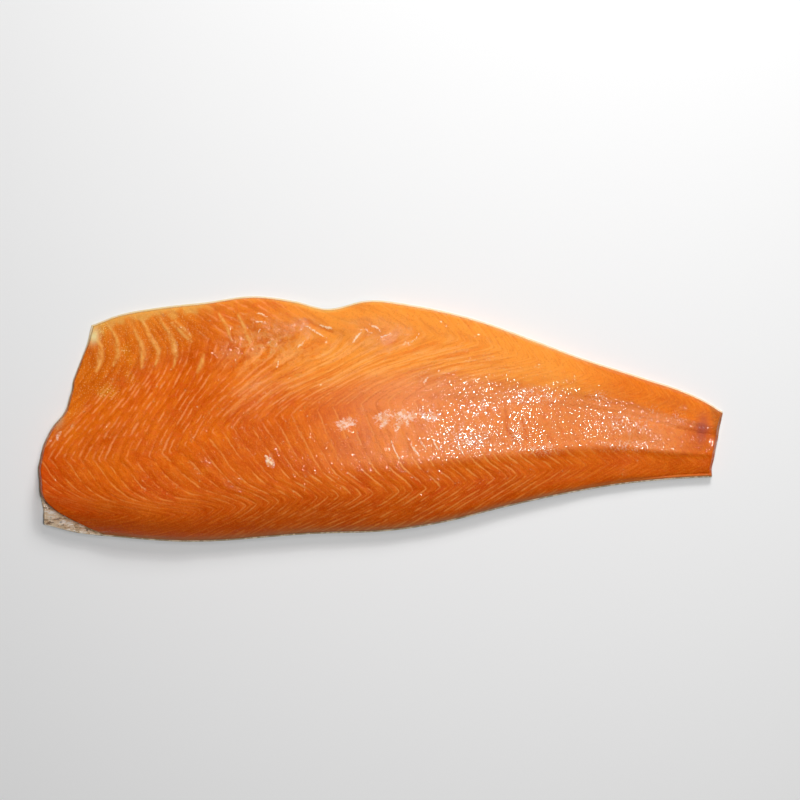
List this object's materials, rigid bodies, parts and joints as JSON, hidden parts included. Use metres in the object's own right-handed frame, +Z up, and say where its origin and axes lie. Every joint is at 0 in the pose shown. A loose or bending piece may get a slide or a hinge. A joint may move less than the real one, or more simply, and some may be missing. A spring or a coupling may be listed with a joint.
{
  "type": "raw salmon fillet",
  "caption": "Whole side of raw salmon, flesh up on its skin, with flake lines, a thin belly flap, a thick back edge and a narrow tail.",
  "frame": {"origin": "centre of the fillet's footprint, on the surface that it lies on", "axes": "+X from the head end to the tail, +Y from the back edge to the belly edge, +Z up, out of the flesh"},
  "size_m": [0.5484, 0.196, 0.0296],
  "materials": {
    "flesh": "wet gloss",
    "skin": "wet gloss"
  },
  "bodies": {
    "root": {"flesh": "flesh", "skin": "skin"}
  },
  "joints": []
}
